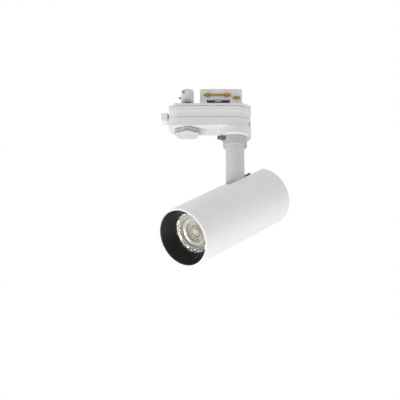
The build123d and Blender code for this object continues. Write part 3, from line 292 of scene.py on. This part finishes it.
FINISHES = {
    "white_paint": WHITE_POWDER,
    "white_plastic": WHITE_PLASTIC,
    "grey_plastic": GREY_PLASTIC,
    "black_plastic": BLACK_PLASTIC,
    "bare_aluminium": ALUMINIUM,
    "zinc_steel": ZINC,
    "dark_screw": BLACK_OXIDE,
    "contact_brass": BRASS,
    "lens_acrylic": ACRYLIC_PAINTED_REFLECTION,
    "phosphor": PHOSPHOR,
    "ceramic": CERAMIC,
    "circuit_board": BOARD_GREEN,
    "lead_sleeve": SHEATH,
}
NODE_SLOTS = {part["node"]: part["material_slot"] for part in frame["record"]["subparts"]}


def give_finish(obj, material):
    """Covers an object with one finish."""
    obj.data.materials.clear()
    obj.data.materials.append(material)


# ---- mesh helpers -------------------------------------------------------------------------------
BODY_OF = {
    node: body
    for body, members in frame["record"]["behaviour"]["bodies"].items()
    for node in members
}
SMOOTH_ANGLE = 35.0      # degrees between two faces above which their edge is sharp
ROUNDED_ANGLE = 38.0     # degrees above which an edge gets its radius


def place_object(name, data):
    """Links an object with this data into the scene, at the origin."""
    made = bpy.data.objects.new(name, data)
    bpy.context.scene.collection.objects.link(made)
    return made


def mesh_object(bm, name):
    """Turns a finished bmesh into an object."""
    mesh = bpy.data.meshes.new(name)
    bm.to_mesh(mesh)
    bm.free()
    return place_object(name, mesh)


def keep_piece(bm, name, node, material=None, smooth_angle=SMOOTH_ANGLE):
    """Makes a finished bmesh the piece that stands for a CAD node."""
    bmesh.ops.recalc_face_normals(bm, faces=bm.faces)
    for face in bm.faces:
        face.smooth = True
    piece = mesh_object(bm, name)
    piece.data.set_sharp_from_angle(angle=radians(smooth_angle))
    give_finish(piece, material or FINISHES[NODE_SLOTS[node]])
    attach(piece, BODY_OF[node])
    return piece


def rounded(piece, width_mm):
    """Gives a piece small rounded edges."""
    bevel = piece.modifiers.new("edge_radius", "BEVEL")
    bevel.width = width_mm * MM
    bevel.segments = 2
    bevel.limit_method = "ANGLE"
    bevel.angle_limit = radians(ROUNDED_ANGLE)
    bevel.harden_normals = True
    bevel.use_clamp_overlap = True


def clean_copy(node):
    """Copy of a CAD node with its triangles joined into whole faces."""
    bm = bmesh.new()
    bm.from_mesh(NODES[node].data)
    bmesh.ops.remove_doubles(bm, verts=bm.verts, dist=CAD_MERGE)
    bmesh.ops.dissolve_limit(bm, angle_limit=radians(FLAT_ANGLE), verts=bm.verts, edges=bm.edges)
    return bm


def cut_at(bm, place, normal):
    """Parts every face that a plane crosses, and keeps both sides."""
    everything = bm.verts[:] + bm.edges[:] + bm.faces[:]
    bmesh.ops.bisect_plane(bm, geom=everything, plane_co=place, plane_no=normal, dist=MERGE)


def spin_about_tube(bm, profile, closed, steps):
    """Spins (along, radius) points a full turn about the X axis."""
    ring = [bm.verts.new((x, 0, r)) for x, r in profile]
    follow = ring[1:] + ring[:1] if closed else ring[1:]
    edges = [bm.edges.new(pair) for pair in zip(ring, follow)]
    bmesh.ops.spin(
        bm, geom=ring + edges, cent=(0, 0, 0), axis=(1, 0, 0), angle=2 * pi, steps=steps, use_merge=True
    )


def soft_edges(node, width_mm, material=None):
    """Replaces a CAD node by a copy with rounded edges."""
    piece = keep_piece(clean_copy(node), node + "_finished", node, material)
    rounded(piece, width_mm)
    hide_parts(node)


def turned(profile, steps):
    """Closed ring or disc with this outline of (along, radius) points, in its place in the tube."""
    bm = bmesh.new()
    spin_about_tube(bm, profile, True, steps)
    bmesh.ops.remove_doubles(bm, verts=bm.verts, dist=MERGE)
    bmesh.ops.transform(bm, matrix=TUBE, verts=bm.verts)
    return bm


# ---- head's skin and the selector knob ----------------------------------------------------------
SLOT_HALF = 9.4 * MM
WALL = 1.9 * MM
TUBE_STEPS = 192
SKIN = 0.2 * WALL        # faces deeper than this in the wall are inside or on the slot's edges
REAR_RIM = 0.1 * MM


def make_head_skin():
    """One drawn tube from rear to rim, slotted along its top where it tilts past the stem."""
    rear, slot_end = along_tube("driver_tube")
    front = along_tube("head_tube")[1]
    outer = radius_of("head_tube")
    bm = bmesh.new()
    spin_about_tube(bm, [(x, outer) for x in (rear, slot_end, front)], False, TUBE_STEPS)
    for y in (-SLOT_HALF, SLOT_HALF):
        cut_at(bm, (0, y, 0), (0, 1, 0))
    middles = {face: face.calc_center_median() for face in bm.faces}
    in_slot = [
        face for face, middle in middles.items()
        if middle.z > 0 and middle.x < slot_end and abs(middle.y) < SLOT_HALF
    ]
    bmesh.ops.delete(bm, geom=in_slot, context="FACES")
    bmesh.ops.recalc_face_normals(bm, faces=bm.faces)
    # An open tube's normals may all point inwards.
    first = next(iter(bm.faces))
    if first.normal.yz.dot(first.calc_center_median().yz) < 0:
        bmesh.ops.reverse_faces(bm, faces=bm.faces)
    bmesh.ops.solidify(bm, geom=bm.faces[:], thickness=WALL)
    bmesh.ops.transform(bm, matrix=TUBE, verts=bm.verts)
    skin = keep_piece(bm, "head_skin", "head_tube")
    rounded(skin, 0.35)
    # The inner wall and the slot's cut edges get the dark grey painted shade.
    skin.data.materials.append(INSIDE_PAINTED_SHADE)
    for face in skin.data.polygons:
        middle = IN_TUBE @ face.center
        if middle.yz.length < outer - SKIN and rear + REAR_RIM < middle.x < front - WALL:
            face.material_index = 1
    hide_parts("head_tube")
    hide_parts("driver_tube")


# Below the knob's top: the groove's upper edge, its floor from and to, and its lower edge.
GROOVE_EDGES_MM = (1.7, 2.2, 2.5, 3.0)
GROOVE_DEPTH_MM = 0.9
KNOB_CORE_MM = 8.0       # nothing nearer the knob's axis is grooved
UPRIGHT = 0.7            # a face whose normal rises less than this is on the knob's side
NEAR_MM = 0.1            # a point this near a height counts as on it


def make_knob():
    """Lobed knob with a groove round its side, so that fingers and eye find its edge."""
    bm = clean_copy("selector_knob")
    top = max(vertex.co.z for vertex in bm.verts)
    outline = [vertex.co for vertex in bm.verts if vertex.co.z > top - CAD_MERGE * 10]
    middle = Vector(((min(c.x for c in outline) + max(c.x for c in outline)) / 2, 0))
    for depth in GROOVE_EDGES_MM:
        cut_at(bm, (0, 0, top - depth * MM), (0, 0, 1))
    floor_top, floor_bottom = (top - depth * MM for depth in GROOVE_EDGES_MM[1:3])
    for vertex in bm.verts:
        out = vertex.co.xy - middle
        on_floor = floor_bottom - NEAR_MM * MM < vertex.co.z < floor_top + NEAR_MM * MM
        if on_floor and out.length > KNOB_CORE_MM * MM:
            out *= 1 - GROOVE_DEPTH_MM * MM / out.length
            vertex.co.xy = middle + out
    piece = keep_piece(bm, "selector_knob_grooved", "selector_knob", KNOB_PLASTIC)
    rounded(piece, 0.15)
    # The knob's side faces get the darker grey painted shade.
    piece.data.materials.append(KNOB_SIDE_PAINTED_SHADE)
    for face in piece.data.polygons:
        if abs(face.normal.z) < UPRIGHT:
            face.material_index = 1
    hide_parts("selector_knob")


# ---- optics -------------------------------------------------------------------------------------
OPENING_MM = 21.5        # radius of the clear opening in front of the lens
SEAT_MM = 5.4            # width of the ring that lies on the lens
SEAT_T_MM = 0.8
SEAT_SLOPE_MM = 1.9      # the back of the cone meets the seat this far out
LIP_MM = 0.5             # straight lip at each end of the cone
LIP_STEP_MM = (0.1, 0.25)                # from the lip to the cone, along and out
MOUTH_W_MM = 0.7         # front rim, from the mouth to the outside
MOUTH_BEVEL_MM = 0.2
CONE_END_MM = (2.6, 0.9)                 # cone's end, back from the front rim and in from the mouth
RIM_T_MM = 3.0           # length of the part that fits the tube
CONE_STEPS = 5
CONE_STEP_MM = (0.06, 0.08)              # each step of the cone, along and out
BAFFLE_STEPS = 160


def make_baffle():
    """Tapered baffle with a fine stepped cone and a lip at each end."""
    x0, x1 = along_tube("baffle")
    outer = radius_of("baffle")
    opening, mouth = OPENING_MM * MM, outer - MOUTH_W_MM * MM
    seat, seat_front, bevel = opening + SEAT_MM * MM, x0 + SEAT_T_MM * MM, MOUTH_BEVEL_MM * MM
    lip = LIP_MM * MM
    cone_x, cone_r = x0 + lip + LIP_STEP_MM[0] * MM, opening + LIP_STEP_MM[1] * MM
    length = x1 - CONE_END_MM[0] * MM - cone_x
    spread = mouth - CONE_END_MM[1] * MM - cone_r
    along, out = (size * MM for size in CONE_STEP_MM)
    profile = [(x0, seat), (x0, opening), (x0 + lip, opening), (cone_x, cone_r)]
    for i in range(1, CONE_STEPS + 1):
        x, r = cone_x + length * i / CONE_STEPS, cone_r + spread * i / CONE_STEPS
        profile += [(x, r), (x + along, r + out)]
    profile += [(x1 - lip, mouth - bevel), (x1, mouth + bevel), (x1, outer), (x1 - RIM_T_MM * MM, outer)]
    profile += [(seat_front, opening + SEAT_SLOPE_MM * MM), (seat_front, seat)]
    piece = keep_piece(turned(profile, BAFFLE_STEPS), "anti_glare_baffle", "baffle", smooth_angle=25)
    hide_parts("baffle")


LENS_PROFILE_MM = (      # depth behind the front face, radius: dome, grooves, wide ring, groove, rim
    (3.0, 0.0), (3.4, 2.4), (4.8, 4.3), (7.6, 5.8), (8.8, 6.2), (8.8, 6.8), (6.6, 7.2), (6.2, 7.6),
    (6.2, 8.2), (7.4, 8.5), (7.4, 8.9), (5.4, 9.3), (5.2, 10.0), (6.8, 10.4), (6.8, 10.9), (3.6, 11.4),
    (3.3, 12.2), (3.0, 13.6), (2.9, 14.9), (5.0, 15.4), (5.0, 16.0), (0.8, 16.6), (0.2, 17.0), (0.0, 17.6),
    (0.0, 18.9), (0.0, 20.3), (0.0, 21.8),
)
FLANGE_T_MM = 3.0        # the lens's flange, front to back
FLANGE_W_MM = 2.0
FLANK_END_MM = 9.5       # radius of the flanks at the back of the lens
FLANK_MIDDLE_MM = 17.6   # and half way to the flange
LED_POCKET_MM = ((0.0, 6.2), (4.5, 5.2), (5.6, 2.6), (6.0, 0.0))   # from the back, radius
FLUTES = 44
FLUTE_DEPTH_MM = 1.1
FLUTED_FROM_MM = 16.95   # the front is smooth nearer the middle than this
FLUTE_BAND_MM = 1.4      # every such band of radius, the flutes shift by half of one
FLUTE_FRONT_MM = 0.5     # points this near the front face are pushed in by the flutes
FACET_FRONT_MM = 1.5     # faces this near it are facets
PLAIN_RIM_MM = 1.0       # the flutes stop this far inside the flange's edge


def make_lens():
    """Collimating lens: facetted outer ring, a wide sunk ring, steps and grooves, and a domed middle."""
    x0, x1 = along_tube("lens")
    flange = radius_of("lens")
    flange_back = x1 - FLANGE_T_MM * MM
    profile = [(x1 - depth * MM, r * MM) for depth, r in LENS_PROFILE_MM]
    profile += [(x1, flange), (flange_back, flange), (flange_back, flange - FLANGE_W_MM * MM)]
    profile += [(x0 + (flange_back - x0) * 0.5, FLANK_MIDDLE_MM * MM), (x0, FLANK_END_MM * MM)]
    profile += [(x0 + depth * MM, r * MM) for depth, r in LED_POCKET_MM]
    bm = turned(profile, FLUTES * 4)

    def is_fluted(place, depth_mm):
        in_ring = FLUTED_FROM_MM * MM < place.yz.length < flange - PLAIN_RIM_MM * MM
        return in_ring and place.x > x1 - depth_mm * MM

    for vertex in bm.verts:
        place = IN_TUBE @ vertex.co
        if is_fluted(place, FLUTE_FRONT_MM):
            band = round((place.yz.length / MM - FLUTED_FROM_MM) / FLUTE_BAND_MM)
            turn = FLUTES * atan2(place.z, place.y) + band * pi
            place.x -= FLUTE_DEPTH_MM * MM * (0.5 - 0.5 * cos(turn))
            vertex.co = TUBE @ place
    piece = keep_piece(bm, "collimator_lens", "lens", smooth_angle=22)
    piece.data.materials.append(FACETS)
    for face in piece.data.polygons:
        if is_fluted(IN_TUBE @ face.center, FACET_FRONT_MM):
            face.material_index = 1
    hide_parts("lens")


# ---- stage --------------------------------------------------------------------------------------
LOOK_UP = 17.43          # degrees that the camera looks up
FLOOR_DROP = 1.0         # track's underside down to the floor
FLOOR_HALF = 40.0


def make_camera():
    """Low three-quarter view from in front and below the track."""
    data = bpy.data.cameras.new("camera")
    data.sensor_width = 36.0
    data.lens = 122.75       # a long lens, about 1.5 m away
    camera = place_object("camera", data)
    camera.location = (-0.0380, -1.3985, -0.5441)
    camera.rotation_euler = (radians(90 + LOOK_UP), 0, 0)
    bpy.context.scene.camera = camera


def seen_or_cast(tree, seen, cast):
    """One shader as the camera sees it, and another for the light that it gives."""
    ray = add(tree, "ShaderNodeLightPath").outputs["Is Camera Ray"]
    return add(tree, "ShaderNodeMixShader", {0: ray, 1: cast.outputs[0], 2: seen.outputs[0]}).outputs[0]


def make_floor():
    """Plain pale floor well below the hanging lamp."""
    bm = bmesh.new()
    bmesh.ops.create_grid(bm, x_segments=1, y_segments=1, size=FLOOR_HALF)
    bmesh.ops.translate(bm, verts=bm.verts, vec=(0, 0, -FLOOR_DROP))
    floor = mesh_object(bm, "floor")
    material, tree = new_material("pale_floor")
    pale = add(tree, "ShaderNodeEmission", {"Color": linear("#F2F2F2")})
    dimmed = add(tree, "ShaderNodeBsdfDiffuse", {"Color": linear("#B0B0B0")})
    finish_surface(tree, seen_or_cast(tree, pale, dimmed))
    floor.data.materials.append(material)


def area_light(name, place, target, size, watts):
    """Round soft lamp that faces the target and isn't seen itself."""
    data = bpy.data.lights.new(name, "AREA")
    data.shape = "DISK"
    data.size = size
    data.energy = watts
    light = place_object(name, data)
    light.location = place
    light.rotation_euler = (Vector(target) - Vector(place)).to_track_quat("-Z", "Y").to_euler()
    light.visible_camera = False


def make_light():
    """White surroundings that light from above more than from the side, and soft lamps from below."""
    world = bpy.data.worlds.new("surroundings")
    world.use_nodes = True
    tree = world.node_tree
    tree.nodes.clear()
    seen = add(tree, "ShaderNodeBackground", {"Color": (1, 1, 1, 1), "Strength": 1.0})
    direction = add(tree, "ShaderNodeTexCoord").outputs["Generated"]
    height = add(tree, "ShaderNodeSeparateXYZ", {"Vector": direction}).outputs["Z"]
    dimmed = add(tree, "ShaderNodeMapRange", {
        "Value": height, "From Min": 0.0, "From Max": 1.0, "To Min": 0.29, "To Max": 1.08,
    })
    cast = add(tree, "ShaderNodeBackground", {
        "Color": (1, 1, 1, 1), "Strength": dimmed.outputs["Result"],
    })
    add(tree, "ShaderNodeOutputWorld", {"Surface": seen_or_cast(tree, seen, cast)})
    bpy.context.scene.world = world
    middle = (0, 0, -0.1)
    area_light("below", (0.2, -0.1, -0.9), middle, 1.3, 6.8)
    area_light("behind_below", (-0.4, 0.3, -0.9), middle, 0.6, 1.9)
    area_light("low_left", (-1.15, -0.4, -0.85), middle, 0.45, 7.5)
    area_light("low_right", (0.9, -0.4, -0.8), middle, 0.5, 1.5)
    bpy.context.scene.view_settings.view_transform = "Standard"


EDGE_RADII_MM = {
    "lower_housing": 0.35, "upper_housing": 0.3, "cover_plate": 0.3, "contact_tongue": 0.35,
    "locking_lever": 0.3, "contact_turret": 0.25, "terminal_block": 0.3, "lock_cam": 0.25,
    "rear_lock_cam": 0.25, "lock_link": 0.2, "rear_cap": 0.25, "hinge_bracket": 0.3,
}


def main():
    for node, obj in NODES.items():
        give_finish(obj, FINISHES[NODE_SLOTS[node]])
    make_camera()
    for node, width in EDGE_RADII_MM.items():
        soft_edges(node, width)
    soft_edges("collar", 0.3, COLLAR_POWDER_PAINTED_SHADE)
    soft_edges("stem", 0.3, STEM_POWDER_PAINTED_SHADE)
    make_head_skin()
    make_knob()
    make_baffle()
    make_lens()
    make_floor()
    make_light()


main()
